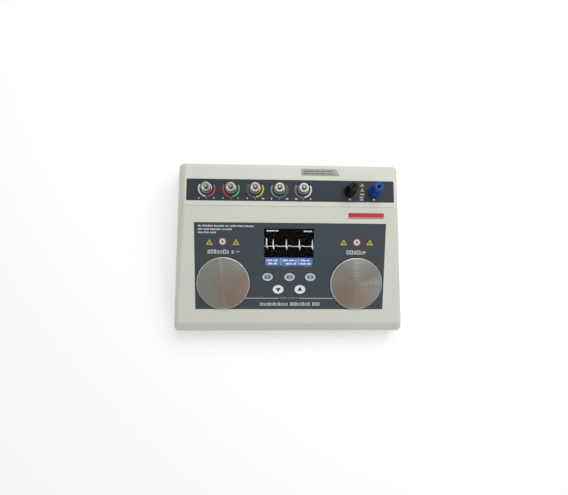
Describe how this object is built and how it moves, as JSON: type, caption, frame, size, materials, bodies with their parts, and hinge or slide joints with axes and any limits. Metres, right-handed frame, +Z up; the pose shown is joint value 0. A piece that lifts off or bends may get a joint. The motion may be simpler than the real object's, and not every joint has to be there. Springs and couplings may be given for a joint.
{
  "type": "defibrillator analyzer",
  "caption": "Wedge-shaped desktop defibrillator tester with round steel paddle plates, colour display, oval keys, ECG lead posts and binding posts.",
  "frame": {"origin": "on the desk under the middle of the case's outline", "axes": "+X to the user's right along the case's width, +Y to the rear, +Z up"},
  "size_m": [0.34, 0.255, 0.1123],
  "materials": {
    "shell_plastic": "warm light grey ABS, fine moulded texture",
    "overlay_film": "slate grey printed polycarbonate film, satin",
    "clear_window": "clear acrylic, polished",
    "display_glass": "display glass and frame",
    "turned_steel": "faced in a lathe, fine rings, bright chamfered rim",
    "nylon": "natural nylon",
    "nickel": "nickel plate",
    "grey_key": "light grey key cap, satin",
    "white_key": "white key cap, satin",
    "circuit_board": "green solder mask",
    "legend_grey": "grey engraved laminate",
    "brass": "turned brass",
    "black_plastic": "black moulded plastic",
    "blue_plastic": "blue moulded plastic",
    "zinc_sheet": "zinc-plated sheet",
    "ceramic": "vitreous enamel on ceramic",
    "battery_wrap": "blue shrink wrap",
    "rubber": "black rubber",
    "lead_insulation": "red silicone lead",
    "ribbon": "grey flat cable"
  },
  "bodies": {
    "console": {"upper_shell": "shell_plastic", "lower_shell": "shell_plastic", "main_overlay": "overlay_film", "terminal_overlay": "overlay_film", "display_window": "clear_window", "display_module": "display_glass", "sternum_plate": "turned_steel", "apex_plate": "turned_steel", "sternum_bush": "nylon", "apex_bush": "nylon", "sternum_nut": "nickel", "apex_nut": "nickel", "case_screw_front_left": "nickel", "case_screw_front_right": "nickel", "case_screw_rear_right": "nickel", "case_screw_rear_left": "nickel", "ecg_post_1": "nickel", "ecg_post_2": "nickel", "ecg_post_3": "nickel", "ecg_post_4": "nickel", "ecg_post_5": "nickel", "key_board": "circuit_board", "terminal_board": "circuit_board", "main_board": "circuit_board", "legend_plate": "legend_grey", "black_post_stem": "brass", "blue_post_stem": "brass", "black_post_collar": "black_plastic", "rear_panel": "black_plastic", "switch_body": "black_plastic", "power_jack": "black_plastic", "scope_jack": "black_plastic", "blue_post_collar": "blue_plastic", "usb_port": "zinc_sheet", "resistor_bracket_left": "zinc_sheet", "resistor_bracket_right": "zinc_sheet", "load_resistor": "ceramic", "battery_pack": "battery_wrap", "foot_front_left": "rubber", "foot_front_right": "rubber", "foot_rear_right": "rubber", "foot_rear_left": "rubber", "sternum_lead": "lead_insulation", "apex_lead": "lead_insulation", "display_ribbon": "ribbon"},
    "key_f1": {"key_f1": "grey_key"},
    "key_f2": {"key_f2": "grey_key"},
    "key_f3": {"key_f3": "grey_key"},
    "key_down": {"key_down": "white_key"},
    "key_up": {"key_up": "white_key"},
    "ecg_nut_1": {"ecg_nut_1": "nickel"},
    "ecg_nut_2": {"ecg_nut_2": "nickel"},
    "ecg_nut_3": {"ecg_nut_3": "nickel"},
    "ecg_nut_4": {"ecg_nut_4": "nickel"},
    "ecg_nut_5": {"ecg_nut_5": "nickel"},
    "black_post_washer": {"black_post_washer": "nickel"},
    "black_post_knob": {"black_post_knob": "black_plastic"},
    "blue_post_washer": {"blue_post_washer": "nickel"},
    "blue_post_knob": {"blue_post_knob": "blue_plastic"},
    "power_rocker": {"power_rocker": "black_plastic"}
  },
  "joints": [
    {"name": "key_f1_press", "type": "slide", "parent": "console", "child": "key_f1", "axis": [0, 0.225, -0.9744], "range_m": [0, 0.0007], "stiffness_N_per_m": 400},
    {"name": "key_f2_press", "type": "slide", "parent": "console", "child": "key_f2", "axis": [0, 0.225, -0.9744], "range_m": [0, 0.0007], "stiffness_N_per_m": 400},
    {"name": "key_f3_press", "type": "slide", "parent": "console", "child": "key_f3", "axis": [0, 0.225, -0.9744], "range_m": [0, 0.0007], "stiffness_N_per_m": 400},
    {"name": "key_down_press", "type": "slide", "parent": "console", "child": "key_down", "axis": [0, 0.225, -0.9744], "range_m": [0, 0.0007], "stiffness_N_per_m": 400},
    {"name": "key_up_press", "type": "slide", "parent": "console", "child": "key_up", "axis": [0, 0.225, -0.9744], "range_m": [0, 0.0007], "stiffness_N_per_m": 400},
    {"name": "ecg_nut_1_turn", "type": "hinge", "parent": "console", "child": "ecg_nut_1", "pos_m": [-0.1177, 0.07326, 0.0919], "axis": [0, 0, 1], "range_deg": [0, 1080]},
    {"name": "ecg_nut_2_turn", "type": "hinge", "parent": "console", "child": "ecg_nut_2", "pos_m": [-0.084, 0.07326, 0.0919], "axis": [0, 0, 1], "range_deg": [0, 1080]},
    {"name": "ecg_nut_3_turn", "type": "hinge", "parent": "console", "child": "ecg_nut_3", "pos_m": [-0.0503, 0.07326, 0.0919], "axis": [0, 0, 1], "range_deg": [0, 1080]},
    {"name": "ecg_nut_4_turn", "type": "hinge", "parent": "console", "child": "ecg_nut_4", "pos_m": [-0.0166, 0.07326, 0.0919], "axis": [0, 0, 1], "range_deg": [0, 1080]},
    {"name": "ecg_nut_5_turn", "type": "hinge", "parent": "console", "child": "ecg_nut_5", "pos_m": [0.0171, 0.07326, 0.0919], "axis": [0, 0, 1], "range_deg": [0, 1080]},
    {"name": "black_post_rise", "type": "slide", "parent": "console", "child": "black_post_washer", "axis": [0, 0, 1], "range_m": [0, 0.004]},
    {"name": "black_post_turn", "type": "hinge", "parent": "black_post_washer", "child": "black_post_knob", "pos_m": [0.083, 0.07186, 0.1016], "axis": [0, 0, 1], "range_deg": [0, 1800]},
    {"name": "blue_post_rise", "type": "slide", "parent": "console", "child": "blue_post_washer", "axis": [0, 0, 1], "range_m": [0, 0.004]},
    {"name": "blue_post_turn", "type": "hinge", "parent": "blue_post_washer", "child": "blue_post_knob", "pos_m": [0.1173, 0.07186, 0.1016], "axis": [0, 0, 1], "range_deg": [0, 1800]},
    {"name": "power_rocker_tilt", "type": "hinge", "parent": "console", "child": "power_rocker", "pos_m": [-0.056, 0.11496, 0.05275], "axis": [1, 0, 0], "range_deg": [-16, 0]}
  ],
  "couplings": [
    {"joint": "black_post_rise", "follows": "black_post_turn", "m_per_rad": 0.00012732},
    {"joint": "blue_post_rise", "follows": "blue_post_turn", "m_per_rad": 0.00012732}
  ]
}
